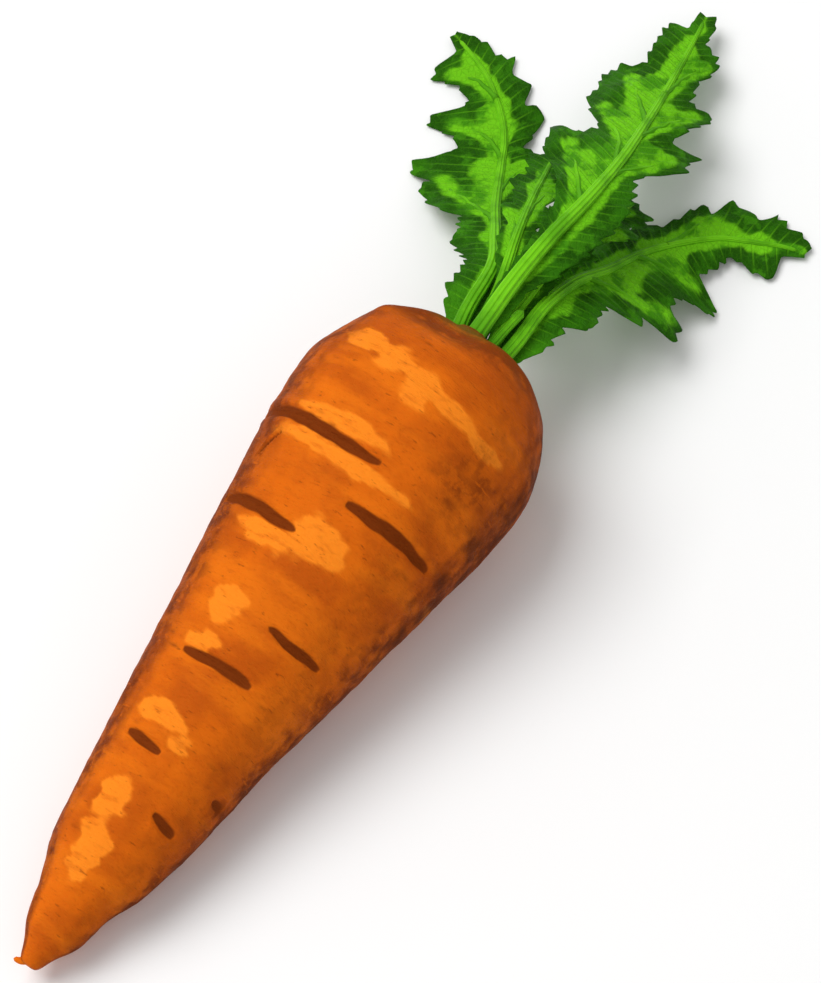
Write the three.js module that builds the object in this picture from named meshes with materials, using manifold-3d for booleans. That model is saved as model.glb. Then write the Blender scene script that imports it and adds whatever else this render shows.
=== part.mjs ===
// A whole carrot lying on its side: one thick root with its leaf fronds fanned out behind the crown.
// Millimetres, +Z up, +X from the tip of the root to the leaves, +Y to the left of that direction.

import * as THREE from 'three';
import { mergeVertices } from 'three/addons/utils/BufferGeometryUtils.js';
import Module from 'manifold-3d';

const wasm = await Module();
wasm.setup();

// ---------- driving dimensions, in millimetres and degrees ----------

const ROOT_LENGTH = 153;          // from the tip to the rim of the crown
const SHOULDER_RADIUS = 26.9;     // at the thickest place
const LIE_PITCH = 8.9;            // how far the crown end rises when the cone lies on its side
const REST_TRIM = 0.4;            // depth of the flat strip that the root rests on
const BLADE_THICKNESS = 1;
const BLADE_LOWEST = 0.1;         // the underside of a blade that lies on the surface
const BLADE_SAG = 0.010;          // a blade falls by this times the square of the distance from its rib
const STALK_TIP_RADIUS = 0.5;
const SIDE_RIB_RADIUS = 0.9;
const GAP = 0.3;                  // between pieces that touch

const HOLLOW = 0.98;              // floor of the crown's hollow, as a share of the root's length

// ---------- outlines ----------

// The root's outline: share of its length from the tip, and share of the shoulder's radius.
const ROOT_OUTLINE = [
  [0, 0], [0.004, 0.07], [0.02, 0.1], [0.042, 0.185], [0.1, 0.28], [0.15, 0.405], [0.2, 0.455],
  [0.33, 0.565], [0.51, 0.725], [0.67, 0.87], [0.77, 0.965], [0.84, 1], [0.885, 0.935],
  [0.92, 0.85], [0.95, 0.745], [0.978, 0.555], [0.991, 0.39], [0.993, 0.34], [0.987, 0.295],
  [HOLLOW, 0.2], [HOLLOW, 0],
];

// A frond is a rib and the blade on both sides of it. The rib's points are measured from the crown's
// centre: away from the root, to the left, and the height above the surface. A margin is a list of
// points along the blade's edge: the share of the rib where the side vein leaves it, and how far the
// edge is from the rib along that vein. Side veins lean towards the leaf's tip by lean degrees. A side
// rib leaves the rib at one share and ends where the vein at another share is reach of the way out.
const FRONDS = {
  left: {
    radius: 1.9,
    rib: [[-1.4, 5, 28.6], [4, 6.4, 29], [17, 9, 26.8], [27.5, 15.3, 20], [37.5, 22, 12.3],
      [50.5, 29.4, 5], [59, 34.3, 2.6], [65.5, 40.6, 2], [70.5, 47.6, 1.6], [75, 58.4, 1.4]],
    left: { lean: 10, margin: [[0.05, 2.2], [0.1, 6.5], [0.22, 6.5], [0.32, 9], [0.43, 8], [0.46, 13],
      [0.52, 17], [0.56, 15], [0.59, 19.5], [0.62, 18.5], [0.65, 11], [0.69, 12], [0.75, 16],
      [0.79, 14], [0.81, 7], [0.87, 7], [0.91, 10], [0.945, 8.5], [0.96, 2.5], [1, 1.2]] },
    right: { lean: 35, margin: [[0.05, 1.6], [0.2, 3.8], [0.28, 6], [0.42, 5.8], [0.58, 8], [0.62, 8],
      [0.68, 6], [0.72, 11], [0.755, 7.5], [0.78, 10], [0.83, 7], [0.85, 9], [0.88, 6.5], [0.95, 4.5],
      [1, 1]] },
    sideRibs: [{ side: 'left', from: 0.35, to: 0.53, reach: 0.75 }],
  },
  middle: {
    radius: 1.9,
    rib: [[-1.4, 0.3, 33.4], [4, 0.3, 34.6], [11, 0.5, 35.6], [24.5, 0.6, 35.4], [39, 0.8, 32.2],
      [54.5, 2.4, 26.6], [70, 5.6, 19.4], [84.5, 9, 12.9], [99.5, 12.6, 7.6], [108, 14.6, 5.6]],
    left: { lean: 35, margin: [[0.05, 2.6], [0.14, 3.6], [0.23, 4.6], [0.3, 7.5], [0.335, 13], [0.37, 22],
      [0.43, 23], [0.47, 16], [0.53, 11.5], [0.57, 15], [0.6, 18.5], [0.68, 18], [0.76, 14.5],
      [0.79, 10], [0.86, 9.5], [0.92, 8], [0.95, 3.2], [1, 2.4]] },
    right: { lean: 35, margin: [[0.05, 2.2], [0.1, 2.8], [0.13, 6.5], [0.19, 8.5], [0.3, 8.5], [0.37, 7],
      [0.43, 6.5], [0.46, 9], [0.485, 15.5], [0.53, 15.5], [0.57, 8.5], [0.62, 12], [0.67, 13.5],
      [0.72, 7.8], [0.79, 7], [0.83, 8.6], [0.88, 7], [0.92, 3.4], [1, 2.4]] },
    sideRibs: [
      { side: 'left', from: 0.46, to: 0.61, reach: 0.65 },
      { side: 'right', from: 0.42, to: 0.5, reach: 0.65 },
      { side: 'right', from: 0.57, to: 0.66, reach: 0.7 },
    ],
  },
  right: {
    radius: 1.9,
    rib: [[-1.4, -5.6, 28.6], [4, -6, 29], [14.5, -5.2, 27.8], [26, -5.4, 23], [36, -7.2, 16.6],
      [48.5, -9, 9], [57.5, -13, 4.6], [64, -18.5, 2.8], [67.5, -24.5, 2], [70, -29, 1.6],
      [71.8, -34.4, 1.4]],
    left: { lean: 30, margin: [[0.05, 2.6], [0.17, 3.2], [0.3, 6.5], [0.4, 7], [0.55, 7.5], [0.6, 10],
      [0.66, 7.2], [0.7, 8], [0.74, 11], [0.765, 8.8], [0.79, 11.5], [0.85, 8], [0.88, 9], [0.93, 6],
      [1, 2]] },
    right: { lean: 8, margin: [[0.05, 2], [0.09, 5], [0.15, 6], [0.19, 10], [0.25, 9], [0.3, 8.5],
      [0.35, 15], [0.385, 13], [0.41, 18.5], [0.45, 18], [0.475, 14], [0.52, 13.5], [0.57, 15],
      [0.62, 17], [0.67, 16.5], [0.7, 9], [0.78, 7], [0.82, 4.8], [0.86, 6], [0.9, 8], [0.93, 6.6],
      [0.95, 2.4], [1, 1]] },
    sideRibs: [{ side: 'right', from: 0.28, to: 0.43, reach: 0.75 }],
  },
  inner_left: {
    radius: 1.4,
    rib: [[-1.4, 2, 26.5], [11, 3.9, 28.8], [25, 8.6, 29], [37.5, 13.2, 23], [47.5, 16.6, 16.6],
      [57, 19.6, 11.5]],
    left: { lean: 30, margin: [[0.32, 0.8], [0.42, 4], [0.52, 6.4], [0.58, 4.6], [0.72, 7.4],
      [0.8, 4.8], [0.92, 6], [1, 1.2]] },
    right: { lean: 30, margin: [[0.32, 0.8], [0.4, 4.4], [0.5, 6.6], [0.6, 4.4], [0.76, 7.6],
      [0.84, 4.8], [0.93, 5.6], [1, 1.2]] },
    sideRibs: [],
  },
  inner_right: {
    radius: 1.4,
    rib: [[-1.4, -2, 26.5], [11, -1.6, 29], [26, -1.4, 29.6], [38.5, -2, 24.6], [47, -2.2, 19.2],
      [54, -1.8, 14.5]],
    left: { lean: 30, margin: [[0.25, 0.8], [0.36, 4], [0.52, 5.6], [0.6, 4.4], [0.78, 7.6],
      [0.86, 4.6], [0.94, 5.2], [1, 1.2]] },
    right: { lean: 30, margin: [[0.25, 0.8], [0.38, 3], [0.5, 5.6], [0.58, 4], [0.72, 8],
      [0.8, 4.8], [0.9, 6.4], [1, 1.2]] },
    sideRibs: [],
  },
};

// A short stalk whose leaf is gone, between the middle and the right frond.
const STUB = [[-1.4, -2.6, 33.2], [4, -3.2, 33.8], [9.5, -3.8, 34]];
const STUB_RADIUS = 1.2;

// ---------- how finely the pieces are divided ----------

const ROOT_RINGS = 34;
const ROOT_SIDES = 36;
const STATION_STEP = 1.6;         // along a blade, in millimetres
const BLADE_COLUMNS = 4;
const STALK_STEPS = 20;
const STALK_SIDES = 8;

// ---------- materials ----------

const finishes = {
  root: { color: 0xcf6111, roughness: 0.55 },
  blade: { color: 0x2b5f0c, roughness: 0.6 },
  stalk: { color: 0x67b61b, roughness: 0.5 },
};

function material(finish) {
  return new THREE.MeshStandardMaterial({ ...finishes[finish], metalness: 0 });
}

// ---------- shared geometry ----------

const UP = new THREE.Vector3(0, 0, 1);
const pitch = THREE.MathUtils.degToRad(LIE_PITCH);
const crown = new THREE.Vector3();   // set once the root lies on the surface

// Moves every corner of a geometry to place(corner), and returns it with its shared corners merged.
function reshape(geometry, place) {
  geometry.deleteAttribute('normal');
  geometry.deleteAttribute('uv');
  const corners = geometry.getAttribute('position');
  const corner = new THREE.Vector3();
  for (let i = 0; i < corners.count; i += 1) {
    corner.fromBufferAttribute(corners, i);
    corner.copy(place(corner));
    corners.setXYZ(i, corner.x, corner.y, corner.z);
  }
  return mergeVertices(geometry, 1e-4);
}

function toSolid(geometry) {
  const vertProperties = new Float32Array(geometry.getAttribute('position').array);
  const triVerts = new Uint32Array(geometry.index.array);
  return new wasm.Manifold(new wasm.Mesh({ numProp: 3, vertProperties, triVerts }));
}

function toGeometry(solid) {
  const { vertProperties, triVerts } = solid.getMesh();
  const geometry = new THREE.BufferGeometry();
  geometry.setAttribute('position', new THREE.BufferAttribute(vertProperties, 3));
  geometry.setIndex(new THREE.BufferAttribute(triVerts, 1));
  geometry.computeVertexNormals();
  return geometry;
}

function curveFromCrown(points) {
  const placed = points.map(([away, left, height]) => (
    new THREE.Vector3(crown.x + away, crown.y + left, height)
  ));
  return new THREE.CatmullRomCurve3(placed, false, 'centripetal');
}

// The directions at a share of a rib: along it, and level to its left.
function directions(rib, share) {
  const along = rib.getTangentAt(share);
  const left = new THREE.Vector3().crossVectors(UP, along).normalize();
  return { along, left };
}

// ---------- root ----------

// The root as a solid of revolution, laid on its side with a flat strip where it rests.
function rootSolid() {
  const outline = ROOT_OUTLINE.map(([share, radius]) => (
    new THREE.Vector3(radius * SHOULDER_RADIUS, share * ROOT_LENGTH, 0)
  ));
  const smooth = new THREE.CatmullRomCurve3(outline, false, 'centripetal').getPoints(ROOT_RINGS);
  smooth[0].x = 0;
  smooth[smooth.length - 1].x = 0;
  const spun = new THREE.LatheGeometry(smooth, ROOT_SIDES);
  spun.rotateZ(-Math.PI / 2);
  spun.rotateY(-pitch);
  spun.computeBoundingBox();
  const lift = -spun.boundingBox.min.z - REST_TRIM;
  spun.translate(0, 0, lift);
  crown.set(ROOT_LENGTH * Math.cos(pitch), 0, lift + ROOT_LENGTH * Math.sin(pitch));

  const belowSurface = new THREE.BoxGeometry(2 * ROOT_LENGTH, 4 * SHOULDER_RADIUS, 10);
  belowSurface.translate(ROOT_LENGTH / 2, 0, -5);
  const keep = (corner) => corner;
  return toSolid(reshape(spun, keep)).subtract(toSolid(reshape(belowSurface, keep)));
}

// ---------- leaves ----------

function reachAt(margin, share) {
  const next = margin.findIndex(([at]) => at >= share);
  if (next <= 0) {
    return margin[next === 0 ? 0 : margin.length - 1][1];
  }
  const [fromShare, fromReach] = margin[next - 1];
  const [toShare, toReach] = margin[next];
  return THREE.MathUtils.mapLinear(share, fromShare, toShare, fromReach, toReach);
}

// A point on the middle of a blade: across runs from -1 at the right margin to 1 at the left one.
function bladePoint(frond, rib, share, across) {
  const edge = across < 0 ? frond.right : frond.left;
  const lean = THREE.MathUtils.degToRad(edge.lean);
  const distance = Math.abs(across) * reachAt(edge.margin, share);
  const { along, left } = directions(rib, share);
  const vein = left.multiplyScalar(Math.sign(across) * Math.cos(lean));
  vein.addScaledVector(along, Math.sin(lean));
  const point = rib.getPointAt(share).addScaledVector(vein, distance);
  point.z -= BLADE_SAG * distance * distance;
  point.z = Math.max(point.z, BLADE_LOWEST + BLADE_THICKNESS / 2);
  return point;
}

// A thin lobed sheet along the rib, hanging down a little on both sides.
function bladeSolid(frond) {
  const rib = curveFromCrown(frond.rib);
  const start = frond.left.margin[0][0];
  const stations = Math.round(rib.getLength() / STATION_STEP);
  const sheet = new THREE.BoxGeometry(1, 2, BLADE_THICKNESS, stations, BLADE_COLUMNS, 1);
  return toSolid(reshape(sheet, ({ x, y, z }) => {
    const share = THREE.MathUtils.clamp(start + (x + 0.5) * (1 - start), 0, 1);
    const point = bladePoint(frond, rib, share, y);
    point.z += z;
    return point;
  }));
}

// A tapering round tube along a curve, made from a straight extrusion one unit long.
function tubeAlong(curve, startRadius, endRadius, steps) {
  const section = new THREE.Shape().absarc(0, 0, 1, 0, 2 * Math.PI);
  const straight = new THREE.ExtrudeGeometry(section, {
    depth: 1, steps, bevelEnabled: false, curveSegments: STALK_SIDES,
  });
  return toSolid(reshape(straight, ({ x, y, z }) => {
    const share = THREE.MathUtils.clamp(z, 0, 1);
    const radius = THREE.MathUtils.lerp(startRadius, endRadius, share);
    const { along, left } = directions(curve, share);
    const over = new THREE.Vector3().crossVectors(along, left);
    return curve.getPointAt(share)
      .addScaledVector(left, x * radius)
      .addScaledVector(over, y * radius);
  }));
}

// The stalk and midrib, lying on the blade, with the side ribs that branch into the larger lobes.
function stalkSolid(frond) {
  const rib = curveFromCrown(frond.rib);
  const clear = BLADE_THICKNESS / 2 + GAP + frond.radius;
  const lifted = rib.getSpacedPoints(STALK_STEPS).map((point) => point.addScaledVector(UP, clear));
  lifted.pop();
  const spine = new THREE.CatmullRomCurve3(lifted);
  let solid = tubeAlong(spine, frond.radius, STALK_TIP_RADIUS, STALK_STEPS);
  for (const { side, from, to, reach } of frond.sideRibs) {
    const sign = side === 'left' ? 1 : -1;
    const path = [0, 0.35, 0.7, 1].map((part) => {
      const share = THREE.MathUtils.lerp(from, to, part);
      const point = bladePoint(frond, rib, share, sign * part * reach);
      const rise = THREE.MathUtils.lerp(clear, BLADE_THICKNESS + GAP + SIDE_RIB_RADIUS, part);
      return point.addScaledVector(UP, rise);
    });
    const branch = new THREE.CatmullRomCurve3(path);
    solid = solid.add(tubeAlong(branch, SIDE_RIB_RADIUS, STALK_TIP_RADIUS, 6));
  }
  return solid;
}

// ---------- assembly ----------

function piece(name, finish, solid) {
  const mesh = new THREE.Mesh(toGeometry(solid), material(finish));
  mesh.name = name;
  return mesh;
}

const lying = new THREE.Group();
lying.add(piece('carrot_root', 'root', rootSolid()));
for (const [name, frond] of Object.entries(FRONDS)) {
  lying.add(piece(`${name}_blade`, 'blade', bladeSolid(frond)));
  lying.add(piece(`${name}_stalk`, 'stalk', stalkSolid(frond)));
}
lying.add(piece('short_stalk', 'stalk', tubeAlong(curveFromCrown(STUB), STUB_RADIUS, STUB_RADIUS, 4)));

// The origin is under the middle of the whole carrot, on the surface that it lies on.
const bounds = new THREE.Box3().setFromObject(lying);
lying.position.x = -(bounds.min.x + bounds.max.x) / 2;
lying.position.y = -(bounds.min.y + bounds.max.y) / 2;
lying.position.z = -bounds.min.z;

const carrot = new THREE.Group();
carrot.name = 'carrot';
carrot.add(lying);

export default carrot;
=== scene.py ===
"""A whole carrot lying on its side, with its leaf fronds fanned out behind the crown."""

import math

import bpy
import numpy as np
from mathutils import Matrix, Vector, noise


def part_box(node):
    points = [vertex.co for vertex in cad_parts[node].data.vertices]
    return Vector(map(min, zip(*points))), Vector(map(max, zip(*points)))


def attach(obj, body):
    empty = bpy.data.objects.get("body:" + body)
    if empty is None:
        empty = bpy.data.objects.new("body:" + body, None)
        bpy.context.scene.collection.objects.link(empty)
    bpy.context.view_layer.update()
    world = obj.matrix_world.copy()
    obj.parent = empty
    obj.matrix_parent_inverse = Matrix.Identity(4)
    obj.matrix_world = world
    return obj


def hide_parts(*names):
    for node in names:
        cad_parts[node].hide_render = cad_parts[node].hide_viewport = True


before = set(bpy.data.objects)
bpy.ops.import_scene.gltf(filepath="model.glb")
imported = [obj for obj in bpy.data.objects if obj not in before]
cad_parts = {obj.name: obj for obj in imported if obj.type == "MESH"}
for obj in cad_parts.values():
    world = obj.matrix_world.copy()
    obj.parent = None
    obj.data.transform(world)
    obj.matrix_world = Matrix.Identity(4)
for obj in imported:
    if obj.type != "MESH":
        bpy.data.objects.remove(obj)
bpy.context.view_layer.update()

MM = 0.001

# ---------- the root's place, from the frame ----------

ROOT_LENGTH = 153 * MM          # from the tip to the rim of the crown
SHOULDER_RADIUS = 26.9 * MM
LIE_PITCH = math.radians(8.9)   # how far the crown end rises
TIP_HEIGHT = 7.6 * MM           # of the middle of the tip above the surface

root_low, root_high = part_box("carrot_root")
tip = Vector((root_low.x, (root_low.y + root_high.y) / 2, TIP_HEIGHT))
axis = Vector((math.cos(LIE_PITCH), 0, math.sin(LIE_PITCH)))
crown = tip + axis * ROOT_LENGTH

# The root's outline: share of its length from the tip, and share of the shoulder's radius.
ROOT_OUTLINE = [
    (0.000, 0.074), (0.007, 0.096), (0.020, 0.112), (0.042, 0.185), (0.100, 0.285), (0.150, 0.405),
    (0.200, 0.458), (0.330, 0.568), (0.510, 0.728), (0.670, 0.875), (0.770, 0.970), (0.840, 1.000),
    (0.885, 0.940), (0.920, 0.855), (0.950, 0.748), (0.978, 0.555), (0.991, 0.390), (0.993, 0.330),
    (0.986, 0.280), (0.980, 0.190), (0.979, 0.060),
]
ROOT_SIDES = 64
ROOT_RINGS = 74

# Transverse creases: distance from the tip and width in mm, middle and half length in degrees from
# the top towards +Y, depth in mm, and slant in mm for each degree.
CREASES = [
    (114.0, 1.5, 29, 43, 1.10, 0.00), (94.6, 1.4, 30, 28, 1.00, 0.00), (104.3, 1.5, -38, 28, 1.15, 0.00),
    (65.0, 1.3, -2, 27, 1.00, 0.00), (76.2, 1.2, -36, 21, 1.00, 0.00), (46.0, 1.4, 13, 18, 0.90, 0.00),
    (35.0, 1.2, -43, 15, 0.80, 0.03), (44.5, 1.6, -71, 8, 0.60, 0.00), (107.6, 0.8, 44, 6, 0.60, -0.49),
]
HIDDEN_CREASES = 13             # more of the same on the other sides
CREASE_WIDTH = 0.72             # of a groove's bell-shaped section, in its own width
LIP_HEIGHT = 0.42               # of the raised skin beside a groove, in its depth

# Broad hollows and swellings: rise, distance from the tip and half length in mm, middle and half
# width in degrees.
FORMS = [
    (1.3, 144.5, 3, 45, 9), (-2.0, 147.5, 5, 10, 30), (-0.8, 131, 15, -62, 28), (0.45, 84, 34, 58, 26),
    (0.5, 8, 6, -100, 50),
]
CROWN_FLATTENING = 2.6 * MM
TIP_DROP = 0.6 * MM
TIP_SWING = 0.3 * MM            # to the right
COLLAR_RISE = 1.1 * MM          # of the skin round each stalk
PUCKERS = 9                     # folds round the crown

SCARS = 46
SCAR_ROWS = [20, 110, 200, 290]     # degrees: rootlets grow in four rows down a root
SCAR_DEPTH = 0.22

UNSHADED_SIDE = -28                # degrees from the top: the middle of the side with the least painted shade and brown

# Paler patches of skin, partly painted highlight: distance from the tip and half length in mm, middle
# and half width in degrees.
PALE_AND_HIGHLIGHT_PATCHES = [
    (134.2, 2.6, 28, 12), (133.2, 3.2, 10, 11), (130.8, 4.2, -8, 9), (130.2, 2.2, -26, 16),
    (128.8, 1.9, -46, 13), (117.0, 1.8, 12, 25), (111.0, 1.9, 6, 34), (94.6, 4.4, -10, 14),
    (91.0, 2.2, 16, 16), (76.0, 3.4, 12, 12), (67.6, 2.0, 14, 12), (52.0, 2.2, 8, 24),
    (49.0, 1.8, -12, 12), (34.0, 5.0, 9, 14), (24.5, 8.0, 3, 17),
]
HIDDEN_PATCHES = 11

# ---------- the fronds, measured from the crown's centre in mm ----------

# A rib's points are away from the root, to the left, and the height above the surface. A margin is
# how far its side veins lean forward in degrees, then the share of the rib where a vein leaves it
# and how far the edge is along that vein. A side rib has its side, the shares of the rib where it
# starts and ends, and how far out it gets, as a share of the margin. The highlight reach is how far
# the painted highlight in brighter green reaches, as a share of the margin too, and the radius is
# the stalk's.
FRONDS = {
    "left": {
        "rib": [(-1.4, 5, 28.6), (4, 6.4, 29), (17, 9, 26.8), (27.5, 15.3, 20), (37.5, 22, 12.3),
                (50.5, 29.4, 5), (59, 34.3, 2.6), (65.5, 40.6, 2), (70.5, 47.6, 1.6), (75, 58.4, 1.4)],
        "left": (10, [(0.01, 1.6), (0.035, 4.2), (0.09, 7), (0.21, 6.0), (0.31, 9.4), (0.33, 7.8),
                      (0.42, 7.4), (0.45, 13), (0.52, 17.4), (0.545, 15), (0.585, 20), (0.62, 18.8),
                      (0.645, 10.2), (0.69, 11), (0.75, 16.4), (0.79, 14.2), (0.805, 6.2), (0.86, 6.4),
                      (0.91, 10.4), (0.945, 8.6), (0.957, 2.2), (1, 1.2)]),
        "right": (35, [(0.01, 1.6), (0.035, 3.4), (0.2, 4.4), (0.27, 6), (0.33, 4.8), (0.42, 6), (0.5, 5.4),
                       (0.58, 8.4), (0.625, 8.6), (0.665, 5), (0.72, 11.4), (0.755, 6.8), (0.785, 10.4),
                       (0.825, 6.2), (0.85, 9.2), (0.88, 6), (0.93, 5.2), (0.96, 3.6), (1, 1)]),
        "side_ribs": [("left", 0.37, 0.555, 0.76), ("left", 0.64, 0.75, 0.62), ("left", 0.81, 0.905, 0.6),
                      ("right", 0.5, 0.605, 0.6)],
        "highlight_reach": 0.38, "radius": 1.6,
    },
    "middle": {
        "rib": [(-1.4, 0.3, 33.4), (4, 0.3, 34.6), (11, 0.5, 35.6), (24.5, 0.6, 35.4), (39, 0.8, 32.2),
                (54.5, 2.4, 26.6), (70, 5.6, 19.4), (84.5, 9, 12.9), (99.5, 12.6, 7.6), (108, 14.6, 5.6)],
        "left": (35, [(0.01, 1.6), (0.035, 3.4), (0.14, 3.8), (0.23, 4.6), (0.29, 7), (0.325, 12),
                      (0.355, 21.5), (0.4, 22), (0.43, 23.4), (0.465, 15), (0.53, 10.5), (0.555, 14.5),
                      (0.6, 19), (0.64, 17.4), (0.68, 18.6), (0.75, 15), (0.785, 9.4), (0.86, 9.2),
                      (0.92, 8.6), (0.945, 3), (1, 2.2)]),
        "right": (35, [(0.01, 1.6), (0.035, 3.4), (0.1, 3.8), (0.14, 7), (0.2, 9.6), (0.31, 10.2),
                       (0.38, 8.4), (0.43, 5.8), (0.455, 8.4), (0.475, 15.4), (0.505, 13.6), (0.535, 16.2),
                       (0.565, 7.6), (0.62, 11.4), (0.67, 14.2), (0.715, 7), (0.79, 6.2), (0.83, 9),
                       (0.87, 7.6), (0.915, 3.2), (0.96, 3.6), (1, 2.4)]),
        "side_ribs": [("left", 0.46, 0.6, 0.66), ("left", 0.32, 0.42, 0.66), ("left", 0.63, 0.73, 0.64),
                      ("right", 0.42, 0.51, 0.66), ("right", 0.57, 0.67, 0.7), ("right", 0.74, 0.84, 0.6)],
        "highlight_reach": 0.52, "radius": 1.9,
    },
    "right": {
        "rib": [(-1.4, -5.6, 28.6), (4, -6, 29), (14.5, -5.2, 27.8), (26, -5.4, 23), (36, -7.2, 16.6),
                (48.5, -9, 9), (57.5, -13, 4.6), (64, -18.5, 2.8), (67.5, -24.5, 2), (70, -29, 1.6),
                (71.8, -34.4, 1.4)],
        "left": (30, [(0.01, 1.6), (0.035, 3.6), (0.17, 4.6), (0.3, 6.6), (0.4, 8.8), (0.5, 8.2),
                      (0.56, 8), (0.6, 10.2), (0.655, 6.4), (0.7, 8), (0.74, 11.6), (0.765, 8),
                      (0.79, 11.8), (0.845, 7), (0.88, 9.4), (0.93, 5.8), (0.97, 4.2), (1, 2)]),
        "right": (8, [(0.01, 1.6), (0.045, 3.2), (0.09, 5.4), (0.15, 5.8), (0.19, 10.4), (0.25, 9),
                      (0.3, 8), (0.35, 15.4), (0.385, 12.2), (0.41, 19), (0.45, 18.2), (0.475, 13.2),
                      (0.52, 12.6), (0.57, 15.2), (0.62, 17.6), (0.67, 16.6), (0.695, 8), (0.76, 7),
                      (0.82, 4.2), (0.86, 6), (0.9, 8.4), (0.93, 6.8), (0.945, 2.2), (1, 1)]),
        "side_ribs": [("right", 0.35, 0.445, 0.78), ("right", 0.55, 0.65, 0.6), ("left", 0.66, 0.77, 0.6)],
        "highlight_reach": 0.44, "radius": 1.6,
    },
    "inner_left": {
        "rib": [(-1.4, 2, 26.5), (11, 3.9, 28.8), (25, 8.6, 29), (37.5, 13.2, 23), (47.5, 16.6, 16.6),
                (57, 19.6, 11.5)],
        "left": (30, [(0.03, 2.2), (0.28, 3), (0.4, 4.6), (0.46, 3), (0.52, 6.8), (0.58, 4), (0.66, 5),
                      (0.72, 7.6), (0.79, 4), (0.9, 6.4), (0.95, 2.4), (1, 1.2)]),
        "right": (30, [(0.03, 2.2), (0.28, 3), (0.4, 4.6), (0.45, 3.4), (0.5, 6.8), (0.6, 3.8), (0.68, 5.4),
                       (0.76, 7.8), (0.83, 4.2), (0.92, 6), (0.96, 2.4), (1, 1.2)]),
        "side_ribs": [("left", 0.36, 0.51, 0.6), ("right", 0.5, 0.73, 0.6)],
        "highlight_reach": 0.4, "radius": 1.4,
    },
    "inner_right": {
        "rib": [(-1.4, -2, 26.5), (11, -1.6, 29), (26, -1.4, 29.6), (38.5, -2, 24.6), (47, -2.2, 19.2),
                (54, -1.8, 14.5)],
        "left": (30, [(0.03, 2.6), (0.25, 3.4), (0.36, 4), (0.44, 3.4), (0.52, 6), (0.6, 3.8), (0.7, 5),
                      (0.78, 8), (0.86, 4), (0.94, 5.4), (0.97, 2.2), (1, 1.2)]),
        "right": (30, [(0.03, 3.4), (0.15, 4.2), (0.25, 3.6), (0.38, 3), (0.5, 6), (0.57, 3.4), (0.65, 5),
                       (0.72, 8.4), (0.8, 4.2), (0.9, 6.8), (0.95, 2.4), (1, 1.2)]),
        "side_ribs": [("right", 0.5, 0.71, 0.6), ("left", 0.55, 0.76, 0.6)],
        "highlight_reach": 0.46, "radius": 1.4,
    },
}
SHORT_STALK = [(-1.4, -2.6, 33.2), (4, -3.2, 33.8), (9.5, -3.8, 34)]
SHORT_STALK_RADIUS = 1.2

BLADE_SAG = 10.0                # per metre: a blade falls by this times its distance from the rib squared
BLADE_LOWEST = 0.5 * MM         # the middle of a blade that lies on the surface
BLADE_SETTLE = 0.35 * MM        # how softly a blade comes down on the surface
BLADE_THICKNESS = 0.6 * MM
BLADE_STEP = 0.45 * MM          # between stations along a rib
BLADE_COLUMNS = 32
BLADE_RUFFLE = 2.0              # mm: the broad waves along a margin
BLADE_FRILL = 0.8               # mm: the small ones
VEIN_FOLD = 0.22                # mm: the blade's rise between side veins
VEIN_SPACING = 2.6 * MM
VEIN_RUN = 10 * MM              # the length along a rib that the "run" attribute counts in
SIDE_HIGHLIGHT = 2.0                 # mm: the half width of the painted highlight in brighter green along a side rib
MARGIN_STEPS = 2000             # along a rib, for rounding a margin's corners
MARGIN_ROUNDING = 0.55 * MM
TOOTH_SPACING = 3.5 * MM
TOOTH_REACH = 1.5 * MM
TOOTH_LEAN = 0.72               # share of a tooth's length that its long side takes
STALK_SIDES = 48
STALK_STRINGS = 9               # lengthwise ridges round a stalk
STALK_STRING_HEIGHT = 0.06      # of its radius
STALK_STEP = 1.1 * MM
STALK_LIFT = 0.6 * MM           # from a frond's line up to the underside of its bare stalk
MIDRIB_RISE = 0.35 * MM         # of a midrib's middle above its blade's
MIDRIB_END_RADIUS = 0.42 * MM
SIDE_RIB_RADII = (0.75 * MM, 0.15 * MM)     # at the midrib, and at the far end
CROWN_DEPTH = 6.5 * MM          # how far a stalk goes on into the crown

# ---------- colours, linear ----------

ORANGE = (0.70, 0.138, 0.0056)
ORANGE_DEEP = (0.52, 0.093, 0.0052)
ORANGE_WARM = (0.78, 0.170, 0.0068)
# the paler patches' orange, partly a painted highlight
ORANGE_PALE_HIGHLIGHT = (0.93, 0.245, 0.0150)
CREASE_BROWN = (0.20, 0.036, 0.0042)
RIM_BROWN = (0.24, 0.042, 0.0045)
SHADE_BROWN = (0.085, 0.015, 0.0020)
CROWN_GREEN = (0.13, 0.11, 0.012)
LEAF_DARK = (0.026, 0.138, 0.0030)
LEAF_DEEP = (0.015, 0.080, 0.0022)
LEAF_MID = (0.056, 0.255, 0.0055)
# the green of the painted highlight along the ribs, and of the veins
LEAF_BRIGHT = (0.155, 0.520, 0.0100)
STALK_GREEN = (0.185, 0.600, 0.0115)
STALK_SHADE = (0.100, 0.370, 0.0075)
FLOOR_WHITE = (0.93, 0.93, 0.93)
FLOOR_CREAM = (0.92, 0.92, 0.915)


# ---------- curves ----------

def smooth_curve(points, steps=40):
    """Points close together on a centripetal Catmull-Rom curve through the given ones."""
    p = np.array(points, float)
    p = np.vstack([2 * p[0] - p[1], p, 2 * p[-1] - p[-2]])
    found = []
    for a, b, c, d in zip(p, p[1:], p[2:], p[3:]):
        ab = max(np.linalg.norm(b - a), 1e-9) ** 0.5
        bc = max(np.linalg.norm(c - b), 1e-9) ** 0.5
        cd = max(np.linalg.norm(d - c), 1e-9) ** 0.5
        out = (b - a) / ab - (c - a) / (ab + bc) + (c - b) / bc
        into = (c - b) / bc - (d - b) / (bc + cd) + (d - c) / cd
        out, into = out * bc, into * bc
        t = np.linspace(0, 1, steps, endpoint=False)[:, None]
        found.append(
            b + out * t + (3 * (c - b) - 2 * out - into) * t**2 + (out + into - 2 * (c - b)) * t**3
        )
    return np.vstack([*found, p[-2]])


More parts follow.
